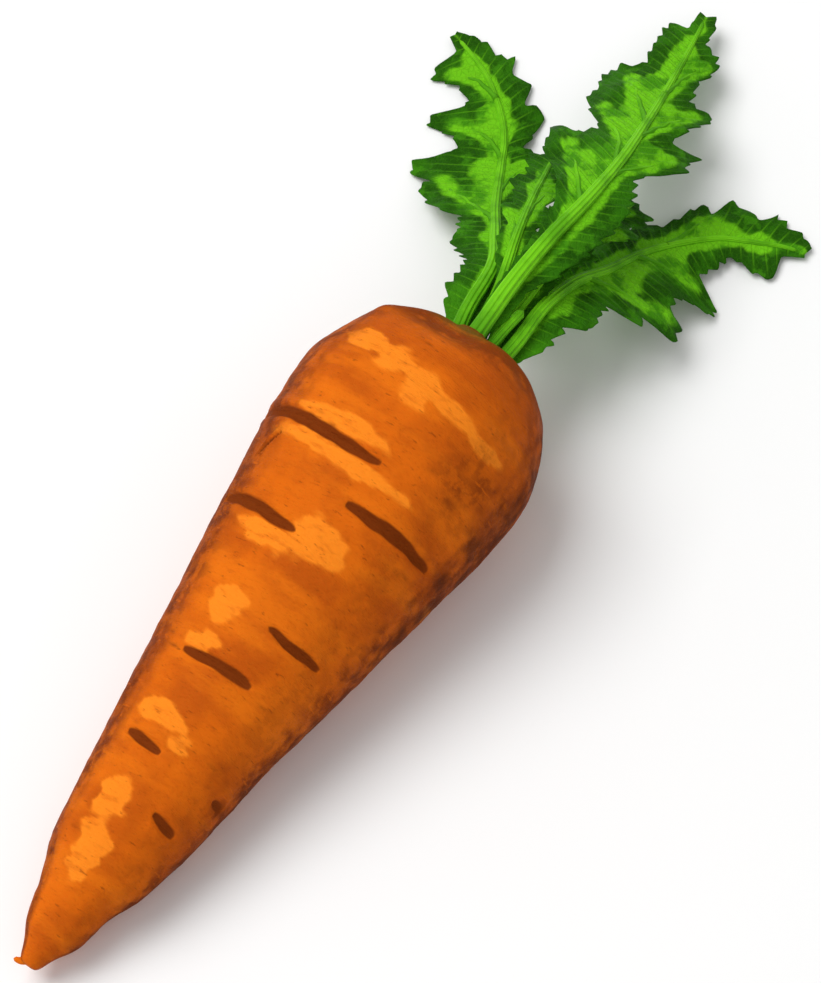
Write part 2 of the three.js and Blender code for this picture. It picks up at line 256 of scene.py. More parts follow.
class Rib:
    """A smooth curve that is read by share of its length, from 0 to 1."""

    def __init__(self, points):
        self.points = smooth_curve(points)
        steps = np.linalg.norm(np.diff(self.points, axis=0), axis=1)
        self.length = float(steps.sum())
        self.shares = np.concatenate([[0], np.cumsum(steps)]) / self.length

    def at(self, share):
        share = np.clip(share, 0, 1)
        return np.stack([np.interp(share, self.shares, self.points[:, k]) for k in range(3)], axis=-1)

    def along(self, share):
        step = 0.004
        way = self.at(np.clip(share, 0, 1 - step) + step) - self.at(np.clip(share, step, 1) - step)
        return way / np.linalg.norm(way, axis=-1, keepdims=True)

    def left(self, share):
        way = self.along(share)
        side = np.stack([-way[..., 1], way[..., 0], np.zeros(way.shape[:-1])], axis=-1)
        return side / np.linalg.norm(side, axis=-1, keepdims=True)


def from_crown(points):
    """Points given in mm from the crown's centre, in metres in the row's frame."""
    return [(crown.x + x * MM, crown.y + y * MM, z * MM) for x, y, z in points]


def bump(distance, width):
    return np.exp(-((distance / width) ** 2))


def ramp(value, low, high):
    t = np.clip((value - low) / (high - low), 0, 1)
    return t * t * (3 - 2 * t)


def lumps(points, size, seed=0.0):
    """Smooth noise from -1 to 1 at each point, with lumps of about that size."""
    shift = Vector((seed * 7.3, seed * 3.1, seed * 5.7))
    return np.array([noise.noise(Vector(p) / size + shift) for p in points])


# ---------- modelling helpers ----------

def start_clean():
    if bpy.context.object and bpy.context.object.mode != "OBJECT":
        bpy.ops.object.mode_set(mode="OBJECT")
    bpy.ops.object.select_all(action="DESELECT")


def places(piece):
    co = np.empty(len(piece.data.vertices) * 3, np.float32)
    piece.data.vertices.foreach_get("co", co)
    return co.reshape(-1, 3).astype(float)


def move_to(piece, co):
    piece.data.vertices.foreach_set("co", np.asarray(co, np.float32).ravel())
    piece.data.update()


def paint(piece, name, values):
    """Stores one number for each vertex, which the piece's material reads by name."""
    layer = piece.data.attributes.get(name) or piece.data.attributes.new(name, "FLOAT", "POINT")
    layer.data.foreach_set("value", np.asarray(values, np.float32))


def apply_modifier(piece, kind, **settings):
    modifier = piece.modifiers.new(kind.lower(), kind)
    for key, value in settings.items():
        setattr(modifier, key, value)
    bpy.context.view_layer.objects.active = piece
    bpy.ops.object.modifier_apply(modifier=modifier.name)


def smooth_shade(piece):
    piece.data.polygons.foreach_set("use_smooth", [True] * len(piece.data.polygons))
    piece.data.update()


def joined(piece, *others):
    start_clean()
    for each in (piece, *others):
        each.select_set(True)
    bpy.context.view_layer.objects.active = piece
    bpy.ops.object.join()
    return piece


def drawn_rings(name, sides, rings):
    """A closed body along +Z, drawn out of a disc ring by ring: rings are (height, radius)."""
    start_clean()
    (height, radius), *others = rings
    bpy.ops.mesh.primitive_circle_add(
        vertices=sides, radius=radius, fill_type="TRIFAN", location=(0, 0, height)
    )
    piece = bpy.context.object
    piece.name = name
    bpy.ops.object.transform_apply(location=True)
    bpy.ops.object.mode_set(mode="EDIT")
    bpy.ops.mesh.select_all(action="SELECT")
    bpy.ops.mesh.flip_normals()
    bpy.ops.mesh.select_mode(type="EDGE")
    bpy.ops.mesh.select_all(action="DESELECT")
    bpy.ops.mesh.select_non_manifold()
    for next_height, next_radius in others:
        bpy.ops.mesh.extrude_region_move(
            TRANSFORM_OT_translate={"value": (0, 0, next_height - height)}
        )
        grow = next_radius / radius
        bpy.ops.transform.resize(value=(grow, grow, 1), center_override=(0, 0, next_height))
        height, radius = next_height, next_radius
    bpy.ops.mesh.merge(type="CENTER")
    bpy.ops.mesh.select_all(action="SELECT")
    bpy.ops.mesh.normals_make_consistent(inside=False)
    bpy.ops.object.mode_set(mode="OBJECT")
    return piece


# ---------- the root ----------

def all_creases():
    rng = np.random.default_rng(11)
    found = list(CREASES)
    for _ in range(HIDDEN_CREASES):
        found.append((
            rng.uniform(24, 136), rng.uniform(0.9, 1.4), rng.uniform(100, 212),
            rng.uniform(10, 26), rng.uniform(0.4, 0.8), rng.uniform(-0.03, 0.03),
        ))
    return found


def all_patches():
    rng = np.random.default_rng(23)
    found = list(PALE_AND_HIGHLIGHT_PATCHES)
    for _ in range(HIDDEN_PATCHES):
        found.append((
            rng.uniform(20, 138), rng.uniform(1.6, 4), rng.uniform(100, 260), rng.uniform(10, 26),
        ))
    return found


def turn_from(angle, middle):
    """Degrees from middle, the short way round."""
    return (angle - middle + 180) % 360 - 180


def root_rings():
    outline = smooth_curve([(share, radius, 0) for share, radius in ROOT_OUTLINE])
    steps = np.linalg.norm(np.diff(outline, axis=0) * [ROOT_LENGTH, SHOULDER_RADIUS, 0], axis=1)
    run = np.concatenate([[0], np.cumsum(steps)])
    wanted = np.linspace(0, run[-1], ROOT_RINGS)
    heights = np.interp(wanted, run, outline[:, 0]) * ROOT_LENGTH
    radii = np.interp(wanted, run, outline[:, 1]) * SHOULDER_RADIUS
    return list(zip(heights.tolist(), radii.tolist()))


def root_piece():
    """The root: drawn out along +Z, subdivided, worked over, and laid on its side."""
    piece = drawn_rings("root_skin", ROOT_SIDES, root_rings())
    apply_modifier(piece, "SUBSURF", levels=2, render_levels=2)

    co = places(piece)
    height = co[:, 2] / MM
    radius = np.hypot(co[:, 0], co[:, 1])
    # Once the root is laid down, local +X is up and local +Y is to the left.
    angle = np.degrees(np.arctan2(co[:, 1], co[:, 0]))
    outward = np.stack([co[:, 0], co[:, 1], np.zeros(len(co))], axis=1)
    outward /= np.maximum(radius, 1e-9)[:, None]
    off_axis = ramp(radius / MM, 1.5, 7)
    barrel = ramp(height, 1, 8) * (1 - ramp(height, 148, 152))

    groove, lips = creases_at(co, height, angle)
    scar = scars_at(height, radius, angle)
    rise = off_axis * barrel * body_form(co, height, angle) + grain_at(co) * off_axis
    rise += barrel * (lips - groove) - SCAR_DEPTH * scar * barrel
    co += outward * (rise * MM)[:, None]

    flat = bump(height - 150, 6) * bump(turn_from(angle, 8), 34) * ramp(radius / MM, 6, 13)
    co[:, 2] -= CROWN_FLATTENING * flat
    near_tip = 1 - ramp(height, 0, 22)
    co[:, 1] -= TIP_SWING * near_tip**2
    co[:, 0] -= TIP_DROP * near_tip**2

    paint_skin(piece, co, height, angle, groove)
    paint(piece, "scar", scar)
    paint(piece, "crown", ramp(height, 146, 151.5) * (1 - ramp(radius / MM, 8, 15)))
    co = laid_down(co)
    collar = collars_at(co) * ramp(height, 146, 149)
    co += np.array(axis) * (COLLAR_RISE * collar)[:, None]
    paint(piece, "collar", collar)
    co[:, 2] = np.maximum(co[:, 2], 0.02 * MM)
    move_to(piece, co)
    bpy.ops.object.mode_set(mode="EDIT")
    bpy.ops.mesh.select_all(action="SELECT")
    bpy.ops.mesh.normals_make_consistent(inside=False)
    bpy.ops.object.mode_set(mode="OBJECT")
    smooth_shade(piece)
    return joined(piece, rootlet())


def body_form(co, height, angle):
    """Rise of the skin in mm: lumps, stretched wrinkles, the broad forms and the crown's puckers."""
    swell = 0.55 * lumps(co, 26 * MM, 1) + 0.25 * lumps(co, 11 * MM, 2)
    wrinkle = 0.13 * lumps(co * [1, 1, 4.5], 16 * MM, 3) + 0.07 * lumps(co * [1, 1, 7], 11 * MM, 4)
    form = np.zeros(len(co))
    for rise, where, length, middle, half in FORMS:
        form += rise * bump(height - where, length) * bump(turn_from(angle, middle), half)
    fold = 0.28 * np.sin(np.radians(angle) * PUCKERS + 2 * lumps(co, 9 * MM, 7))
    return swell + wrinkle + form + ramp(height, 141, 149) * fold


def grain_at(co):
    """Rise of the finest grain in mm."""
    return 0.035 * lumps(co * [1, 1, 2.2], 2.6 * MM, 5)


def creases_at(co, height, angle):
    """Depth of the creases, and rise of the lips beside them, in mm."""
    groove = np.zeros(len(co))
    lips = np.zeros(len(co))
    waver = 1.0 * lumps(co, 13 * MM, 6) + 0.35 * lumps(co, 3.5 * MM, 13)
    for where, width, middle, half, depth, slant in all_creases():
        turn = turn_from(angle, middle)
        inside = np.clip(1 - (turn / half) ** 2, 0, 1) ** 0.35
        offset = height - where - waver - slant * turn
        thin = width * (0.45 + 0.55 * inside)
        groove = np.maximum(groove, depth * inside * bump(offset, thin * CREASE_WIDTH))
        lip = bump(np.abs(offset) - 1.6 * thin, thin * 0.8)
        lips = np.maximum(lips, LIP_HEIGHT * depth * inside * lip)
    return groove, lips


def scars_at(height, radius, angle):
    """Where thin side roots broke off, from 0 to 1: short dashes across the root, in rows."""
    scar = np.zeros(len(height))
    rng = np.random.default_rng(5)
    for _ in range(SCARS):
        where, middle = rng.uniform(18, 140), rng.choice(SCAR_ROWS) + rng.normal(0, 14)
        around = np.radians(turn_from(angle, middle)) * radius / MM
        size = rng.uniform(0.5, 1.0)
        dash = bump(height - where, 0.34 * size) * bump(around, 1.5 * size)
        scar = np.maximum(scar, dash * rng.uniform(0.5, 1))
    return scar


def paint_skin(piece, co, height, angle, groove):
    """Stores where the skin is paler with painted highlight, creased, browned partly as painted shade, and
    darkened by a band of painted shade, from 0 to 1.
    """
    long = co * [1, 1, 2.6]
    ragged = 0.9 * lumps(long, 7 * MM, 8) + 0.5 * lumps(long, 3 * MM, 9)
    blotch = 0.5 * lumps(co, 6 * MM, 10) + 0.5 * lumps(co, 2.5 * MM, 12)
    pale = np.zeros(len(co))
    for where, length, middle, half in all_patches():
        away = np.hypot((height - where) / length, turn_from(angle, middle) / half)
        pale = np.maximum(pale, 1 - ramp(away + 0.55 * ragged, 0.78, 1.12))
    paint(piece, "pale", np.clip(pale * (1 - groove), 0, 1))
    paint(piece, "crease", np.clip(groove * 1.25, 0, 1))
    paint(piece, "flank", np.clip(brown_flanks_and_shade(height, angle, blotch, ragged), 0, 1))
    paint(piece, "shade", np.clip(painted_shade_band(height, angle, blotch), 0, 1))
    paint(piece, "rim", ramp(height + 1.5 * blotch, 142, 147.5))
    paint(piece, "tail", 1 - ramp(height, 0, 7))


def brown_flanks_and_shade(height, angle, blotch, ragged):
    """How brown and freckled the skin is, partly as painted shade: more down both flanks than on the
    unshaded side.
    """
    side = turn_from(angle, UNSHADED_SIDE)
    left = 0.95 * ramp(side, 58, 78) * (1 - 0.65 * ramp(side + 25 * blotch, 90, 150))
    right = 0.32 * ramp(-side, 2, 22) + 0.5 * ramp(-side, 32, 54)
    # a browner patch on the right shoulder
    shoulder_patch = np.hypot((height - 122) / 7, turn_from(angle, -47) / 20) + 0.4 * ragged
    right += 0.45 * (1 - ramp(shoulder_patch, 0.6, 1.1))
    under = 1 - 0.72 * ramp(np.abs(side) + 24 * blotch, 80, 122)
    return (left + right * under) * (1 + 0.7 * blotch)


def painted_shade_band(height, angle, blotch):
    """The darkest painted shade: a band low on the right side, and a fainter one on the left."""
    side = turn_from(angle, UNSHADED_SIDE)
    higher = 6 + 13 * bump(height - 117, 26)    # degrees: the band reaches up at the shoulder
    right = ramp(-side + 20 * blotch + higher, 52, 78) * (1 - ramp(-side + 26 * blotch, 80, 110))
    left = ramp(side + 14 * blotch, 72, 86) * (1 - ramp(side + 20 * blotch, 88, 115))
    return right + 0.55 * left


def laid_down(co):
    """Points of the root as drawn along +Z, turned onto its side at its place."""
    turn = Matrix((
        (-math.sin(LIE_PITCH), 0, math.cos(LIE_PITCH)),
        (0, 1, 0),
        (math.cos(LIE_PITCH), 0, math.sin(LIE_PITCH)),
    ))
    return co @ np.array(turn).T + np.array(tip)


def collars_at(co):
    """The raised ring of skin round the foot of each stalk, from 0 to 1."""
    collar = np.zeros(len(co))
    for frond in FRONDS.values():
        (_, y, z), size = frond["rib"][0], frond["radius"]
        middle = (z + size) * MM + STALK_LIFT
        away = np.hypot(co[:, 1] - crown.y - y * MM, co[:, 2] - middle)
        collar = np.maximum(collar, bump(away / MM - 1.3 * size - 0.5, 0.8))
    return collar


def rootlet():
    """The thin end of the root, which curls away to the left."""
    start = np.array(tip) + np.array([0.6, 0.6, -0.6]) * MM
    path = [start + np.array(step) * MM for step in ((0.9, -0.4, 0), (-0.4, 0.8, 0), (-0.9, 2.2, 0.3))]
    return tube("root_tail", path, 1.1 * MM, 0.4 * MM, sides=12, step=0.3 * MM)


# ---------- leaves ----------

def margin_reach(margin, shares, length, seed):
    """How far the edge is from the rib at each share, in metres: without teeth, and with them."""
    at, reach = np.array(margin, float).T
    fine = np.linspace(0, 1, MARGIN_STEPS + 1)
    line = np.interp(fine, at, reach)
    spread = MARGIN_ROUNDING / length * MARGIN_STEPS
    window = 12
    kernel = bump(np.arange(-window, window + 1), max(spread, 1))
    line = np.convolve(np.pad(line, window, mode="edge"), kernel / kernel.sum(), mode="valid")
    smooth = np.interp(shares, fine, line) * MM

    rng = np.random.default_rng(seed)
    count = max(3, int(length / TOOTH_SPACING))
    edges = np.sort(np.clip(np.linspace(0, 1, count + 1) + rng.normal(0, 0.16 / count, count + 1), 0, 1))
    sizes = rng.uniform(0.45, 1.25, count + 1)
    tooth = np.clip(np.searchsorted(edges, shares, side="right") - 1, 0, count - 1)
    part = (shares - edges[tooth]) / np.maximum(edges[tooth + 1] - edges[tooth], 1e-6)
    shape = np.where(part < TOOTH_LEAN, part / TOOTH_LEAN, (1 - part) / (1 - TOOTH_LEAN))
    room = ramp(smooth, 1.5 * MM, 6 * MM)
    return smooth, smooth + TOOTH_REACH * sizes[tooth] * (shape - 0.45) * room


def blade_surface(frond, rib, share, across, seed):
    """Points on the middle of a blade, for across from -1 at the right margin to 1 at the left.

    Also gives how far each point is from the rib, and how far the margin is there without teeth.
    """
    smooth, reach = np.empty(len(share)), np.empty(len(share))
    for side, mine in (("left", across >= 0), ("right", across < 0)):
        margin = frond[side][1]
        smooth[mine], reach[mine] = margin_reach(margin, share[mine], rib.length, seed + len(side))
    side = np.where(across < 0, -1.0, 1.0)
    lean = np.radians(np.where(across < 0, frond["right"][0], frond["left"][0]))
    distance = np.abs(across) * reach
    way = rib.left(share) * (side * np.cos(lean))[:, None] + rib.along(share) * np.sin(lean)[:, None]
    point = rib.at(share) + way * distance[:, None]

    edge = np.abs(across)
    loose = edge**1.6 * ramp(smooth, 2 * MM, 12 * MM)
    ruffle = BLADE_RUFFLE * lumps(point, 9 * MM, seed) + BLADE_FRILL * lumps(point, 4 * MM, seed + 3)
    between_veins = np.sin(share * rib.length / VEIN_SPACING * 2 * math.pi) * edge * (1 - edge) * 4
    fold = (loose * ruffle + VEIN_FOLD * between_veins * ramp(smooth, 3 * MM, 8 * MM)) * MM
    cup = 0.10 * (smooth - 8 * MM) * edge * ramp(smooth, 8 * MM, 16 * MM)
    height = point[:, 2] - BLADE_SAG * distance**2 + fold - cup
    lowest = BLADE_LOWEST + 0.25 * MM * (1 + lumps(point, 6 * MM, seed + 5))
    point[:, 2] = lowest + np.logaddexp(0, (height - lowest) / BLADE_SETTLE) * BLADE_SETTLE
    return point, distance, smooth


def side_rib_lines(frond, rib, seed):
    """The middle line of each side rib, on the blade's surface, from the rib outwards."""
    part = np.linspace(0, 1, 14)
    lines = []
    for side, start, end, out in frond["side_ribs"]:
        across = (1 if side == "left" else -1) * part**1.1 * out
        lines.append(blade_surface(frond, rib, start + (end - start) * part, across, seed)[0])
    return lines


def blade_piece(name, frond, seed):
    """A lobed, ruffled leaf blade, shaped from a flat grid: x runs along the rib and y across it."""
    rib = Rib(from_crown(frond["rib"]))
    start = frond["left"][1][0][0]
    stations = int(rib.length * (1 - start) / BLADE_STEP)
    start_clean()
    bpy.ops.mesh.primitive_grid_add(x_subdivisions=stations, y_subdivisions=BLADE_COLUMNS, size=1)
    piece = bpy.context.object
    piece.name = name
    grid = places(piece)
    share = start + (grid[:, 0] + 0.5) * (1 - start)
    across = np.clip(grid[:, 1] * 2, -1, 1)
    co, distance, smooth = blade_surface(frond, rib, share, across, seed)
    move_to(piece, co)

    edge = np.abs(across)
    wander = 1.3 * lumps(co, 5 * MM, seed + 7) + 0.7 * lumps(co, 2.2 * MM, seed + 9)
    # Painted highlight: brighter green along the rib and the side ribs, fading towards the margins.
    bright = frond["highlight_reach"] * smooth / MM - 0.6 + wander - distance / MM
    for line in side_rib_lines(frond, rib, seed):
        away = np.linalg.norm(co[:, None] - line, axis=2).min(axis=1)
        bright = np.maximum(bright, SIDE_HIGHLIGHT - away / MM + 0.4 * wander)
    paint(piece, "bright", ramp(bright, -0.4, 0.5))
    paint(piece, "edge", edge)
    paint(piece, "base", 1 - ramp(share * rib.length, 4 * MM, 15 * MM))
    paint(piece, "run", share * rib.length / VEIN_RUN)
    thin = piece.vertex_groups.new(name="thin")
    for i, value in enumerate(0.45 + 0.55 * (1 - edge**3)):
        thin.add([i], float(value), "REPLACE")
    apply_modifier(
        piece, "SOLIDIFY", thickness=BLADE_THICKNESS, offset=0, vertex_group="thin",
        use_even_offset=False,
    )
    piece.vertex_groups.clear()
    smooth_shade(piece)
    return piece


def tube(name, path, start_radius, end_radius, sides=STALK_SIDES, step=STALK_STEP, string=0.0, flare=0.0):
    """A tapering stalk, drawn out straight along +Z, then bent along its path.

    It has lengthwise strings that high and a channel along its top, and it is wider at its foot by
    the flare, both as shares of its radius.
    """
    line = Rib(path)
    count = max(6, int(line.length / step))
    piece = drawn_rings(name, sides, [(share, 1.0) for share in np.linspace(0, 1, count).tolist()])
    co = places(piece)
    share = np.clip(co[:, 2], 0, 1)
    angle = np.arctan2(co[:, 1], co[:, 0])
    radius = start_radius + (end_radius - start_radius) * share**1.15
    radius *= 1 + flare * (1 - ramp(share * line.length, 0, 9 * MM))
    strings = np.cos(angle * STALK_STRINGS)
    channel = bump(turn_from(np.degrees(angle), 90), 22) * (1 - ramp(share, 0.3, 0.7))
    fluting = 1 + string * (strings - 2.2 * channel) * (1 - 0.5 * share)
    along, left = line.along(share), line.left(share)
    over = np.cross(along, left)
    spread = np.hypot(co[:, 0], co[:, 1]) * radius * fluting
    offset = left * (np.cos(angle) * spread)[:, None] + over * (np.sin(angle) * spread * 0.92)[:, None]
    move_to(piece, line.at(share) + offset)
    paint(piece, "top", 0.5 + 0.5 * np.sin(angle))
    paint(piece, "string", 0.5 + 0.5 * strings)
    paint(piece, "base", 1 - ramp(share * line.length, 6 * MM, 15 * MM))
    smooth_shade(piece)
    return piece


def stalk_piece(name, frond, seed):
    """The stalk and midrib of a frond, with the side ribs that branch off into its lobes."""
    rib = Rib(from_crown(frond["rib"]))
    radius = frond["radius"] * MM
    shares = np.linspace(0, 0.985, 24)
    path = rib.at(shares)
    # Bare stalk near the crown, then a rib that is half sunk in the blade.
    sunk = ramp(shares, 0.02, 0.5)
    path[:, 2] += (1 - sunk) * (radius + STALK_LIFT) + sunk * MIDRIB_RISE
    path[0] -= rib.along(np.array([0.0]))[0] * CROWN_DEPTH
    body = tube(name, path, radius, MIDRIB_END_RADIUS, string=STALK_STRING_HEIGHT, flare=0.25)
    branches = []
    for (_, start, _, _), line in zip(frond["side_ribs"], side_rib_lines(frond, rib, seed)):
        part = np.linspace(0, 1, len(line))
        line[:, 2] += 0.12 * MM
        rise = np.interp(start, shares, path[:, 2] - rib.at(shares)[:, 2])
        line[:, 2] += rise * (1 - ramp(part, 0, 0.35)) - 0.3 * MM * ramp(part, 0.6, 1)
        branches.append(tube(name + "_branch", line, *SIDE_RIB_RADII, sides=16, step=0.8 * MM))
    return joined(body, *branches)


def short_stalk_piece():
    """The bare stalk of a frond that broke off."""
    path = np.array(from_crown(SHORT_STALK))
    path[0, 0] -= CROWN_DEPTH
    radius = SHORT_STALK_RADIUS * MM
    return tube("short_rib", path, radius, 0.85 * radius, string=STALK_STRING_HEIGHT)


# ---------- materials ----------

class Wiring:
    """Adds nodes to one node tree."""

    def __init__(self, tree):
        self.tree = tree
        tree.nodes.clear()

    def feed(self, socket, value):
        """Links an input to a socket, or sets it to a number, a vector or a colour."""
        if isinstance(value, bpy.types.NodeSocket):
            self.tree.links.new(value, socket)
        elif socket.type == "RGBA":
            socket.default_value = (*value, 1)
        else:
            socket.default_value = value

    def add(self, kind, inputs=None, **settings):
        node = self.tree.nodes.new(kind)
        for key, value in settings.items():
            setattr(node, key, value)
        for key, value in (inputs or {}).items():
            self.feed(node.inputs[key], value)
        return node

    def math(self, operation, a, b=0.0, c=0.0, clamp=False):
        inputs = {0: a, 1: b, 2: c}
        return self.add("ShaderNodeMath", inputs, operation=operation, use_clamp=clamp).outputs[0]

    def blend(self, amount, a, b):
        """Colour a turned into colour b by amount."""
        node = self.add("ShaderNodeMix", data_type="RGBA")
        sockets = {socket.identifier: socket for socket in (*node.inputs, *node.outputs)}
        for identifier, value in (("Factor_Float", amount), ("A_Color", a), ("B_Color", b)):
            self.feed(sockets[identifier], value)
        return sockets["Result_Color"]

    def mask(self, name):
        return self.add("ShaderNodeAttribute", attribute_name=name).outputs["Fac"]

    def between(self, value, low, high):
        """0 below low, 1 above high, and smooth between."""
        inputs = {"Value": value, "From Min": low, "From Max": high}
        return self.add("ShaderNodeMapRange", inputs, interpolation_type="SMOOTHSTEP").outputs["Result"]


def new_group(name, inputs, outputs):
    """An empty shader group with float or vector inputs and float outputs."""
    group = bpy.data.node_groups.new(name, "ShaderNodeTree")
    wire = Wiring(group)
    for label, kind, value in inputs:
        socket = group.interface.new_socket(label, in_out="INPUT", socket_type=kind)
        if value is not None:
            socket.default_value = value
    for label in outputs:
        group.interface.new_socket(label, in_out="OUTPUT", socket_type="NodeSocketFloat")
    return group, wire, wire.add("NodeGroupInput"), wire.add("NodeGroupOutput")


def uneven_tone():
    """Cloudy patches with a soft threshold: a mask from 0 to 1."""
    group, wire, given, result = new_group("uneven_tone", [
        ("Vector", "NodeSocketVector", None), ("Scale", "NodeSocketFloat", 60.0),
        ("Low", "NodeSocketFloat", 0.4), ("High", "NodeSocketFloat", 0.6),
    ], ["Mask"])
    cloud = wire.add("ShaderNodeTexNoise", {
        "Vector": given.outputs["Vector"], "Scale": given.outputs["Scale"],
        "Detail": 4.0, "Roughness": 0.55,
    })
    mask = wire.between(cloud.outputs["Fac"], given.outputs["Low"], given.outputs["High"])
    wire.tree.links.new(mask, result.inputs["Mask"])
    return group


def fine_relief():
    """Small pores and wrinkles as a height from 0 to 1."""
    group, wire, given, result = new_group("fine_relief", [
        ("Vector", "NodeSocketVector", None), ("Scale", "NodeSocketFloat", 900.0),
        ("Pores", "NodeSocketFloat", 0.4),
    ], ["Height"])
    vector, scale = given.outputs["Vector"], given.outputs["Scale"]
    grain = wire.add("ShaderNodeTexNoise", {
        "Vector": vector, "Scale": scale, "Detail": 5.0, "Roughness": 0.6,
    }).outputs["Fac"]
    cells = wire.add("ShaderNodeTexVoronoi", {"Vector": vector, "Scale": scale}).outputs["Distance"]
    pit = wire.math("SUBTRACT", 1.0, wire.between(cells, 0.05, 0.4))
    height = wire.math("SUBTRACT", grain, wire.math("MULTIPLY", pit, given.outputs["Pores"]))
    wire.tree.links.new(height, result.inputs["Height"])
    return group


TONE = uneven_tone()
RELIEF = fine_relief()


def tone(wire, vector, scale, low, high):
    inputs = {"Vector": vector, "Scale": scale, "Low": low, "High": high}
    return wire.add("ShaderNodeGroup", inputs, node_tree=TONE).outputs["Mask"]


def relief(wire, vector, scale, pores):
    inputs = {"Vector": vector, "Scale": scale, "Pores": pores}
    return wire.add("ShaderNodeGroup", inputs, node_tree=RELIEF).outputs["Height"]


def new_material(name):
    made = bpy.data.materials.new(name)
    made.use_nodes = True
    wire = Wiring(made.node_tree)
    coordinates = wire.add("ShaderNodeTexCoord").outputs["Object"]
    return made, wire, coordinates


def finish_material(wire, colour, roughness, height, distance, strength, **sockets):
    """The shader itself. Constant values are set on its own sockets."""
    normal = wire.add("ShaderNodeBump", {"Height": height, "Distance": distance, "Strength": strength})
    shader = wire.add("ShaderNodeBsdfPrincipled", {
        "Base Color": colour, "Roughness": roughness, "Normal": normal.outputs["Normal"],
    })
    for key, value in sockets.items():
        shader.inputs[key.replace("_", " ")].default_value = value
    output = wire.add("ShaderNodeOutputMaterial")
    wire.tree.links.new(shader.outputs["BSDF"], output.inputs["Surface"])


def skin_material():
    """Orange skin: cloudy tones, paler patches that are partly painted highlight, brown creases and fine
    lines round the root, and brown sides with painted shade.
    """
    made, wire, place = new_material("carrot_skin")
    level = wire.add("ShaderNodeMapping", {
        "Vector": place, "Location": tuple(-crown), "Rotation": (0, LIE_PITCH, 0),
    }).outputs["Vector"]
    banded = wire.add("ShaderNodeMapping", {"Vector": level, "Scale": (4.0, 1.0, 1.0)}).outputs["Vector"]

    colour = wire.blend(tone(wire, level, 55.0, 0.38, 0.62), ORANGE_DEEP, ORANGE)
    warm = wire.math("MULTIPLY", tone(wire, banded, 34.0, 0.46, 0.66), 0.75)
    colour = wire.blend(warm, colour, ORANGE_WARM)
    # Paler patches, partly a painted highlight.
    pale = wire.mask("pale")
    full = wire.math("MULTIPLY_ADD", tone(wire, level, 260.0, 0.3, 0.6), 0.35, 1.1)
    colour = wire.blend(wire.math("MULTIPLY", pale, full, clamp=True), colour, ORANGE_PALE_HIGHLIGHT)
    lines = wire.math("MULTIPLY", tone(wire, banded, 210.0, 0.52, 0.68), 0.34)
    colour = wire.blend(lines, colour, ORANGE_DEEP)
    flecks = wire.math("MULTIPLY", tone(wire, banded, 420.0, 0.63, 0.72), 0.5)
    colour = wire.blend(flecks, colour, CREASE_BROWN)
    # Brown down both sides of the root, partly painted shade.
    flank = wire.mask("flank")
    dapple = wire.math("MULTIPLY_ADD", tone(wire, level, 330.0, 0.42, 0.60), 0.55, 0.45)
    colour = wire.blend(wire.math("MULTIPLY", flank, dapple), colour, RIM_BROWN)
    glints = wire.math("MULTIPLY", tone(wire, banded, 300.0, 0.60, 0.70), flank)
    colour = wire.blend(wire.math("MULTIPLY", glints, 0.6), colour, ORANGE)
    # A band of painted shade, broken up by cloudy tones.
    shade_strength = wire.math("MULTIPLY_ADD", tone(wire, level, 240.0, 0.40, 0.60), 0.42, 0.48)
    colour = wire.blend(wire.math("MULTIPLY", wire.mask("shade"), shade_strength), colour, SHADE_BROWN)
    rim = wire.math("MULTIPLY", wire.mask("rim"), tone(wire, level, 200.0, 0.28, 0.52))
    colour = wire.blend(wire.math("MULTIPLY", rim, 0.9), colour, RIM_BROWN)
    colour = wire.blend(wire.math("MULTIPLY", wire.mask("scar"), 0.7), colour, CREASE_BROWN)
    colour = wire.blend(wire.between(wire.mask("crease"), 0.16, 0.5), colour, CREASE_BROWN)
    colour = wire.blend(wire.math("MULTIPLY", wire.mask("crown"), 0.75), colour, CROWN_GREEN)
    colour = wire.blend(wire.math("MULTIPLY", wire.mask("collar"), 0.6), colour, CREASE_BROWN)
    colour = wire.blend(wire.math("MULTIPLY", wire.mask("tail"), 0.35), colour, ORANGE_DEEP)

    rough = wire.math("MULTIPLY_ADD", tone(wire, level, 130.0, 0.3, 0.7), 0.16, 0.44)
    rough = wire.math("ADD", rough, wire.math("MULTIPLY", wire.mask("crease"), 0.25))
    fine = relief(wire, banded, 700.0, 0.5)
    coarse = wire.math("MULTIPLY", tone(wire, banded, 120.0, 0.25, 0.75), 1.3)
    height = wire.math("ADD", fine, coarse)
    finish_material(wire, colour, rough, height, 0.0004, 0.55,
                    Subsurface_Weight=0.12, Subsurface_Radius=(1.0, 0.35, 0.1),
                    Subsurface_Scale=0.0025, Specular_IOR_Level=0.015)
    return made


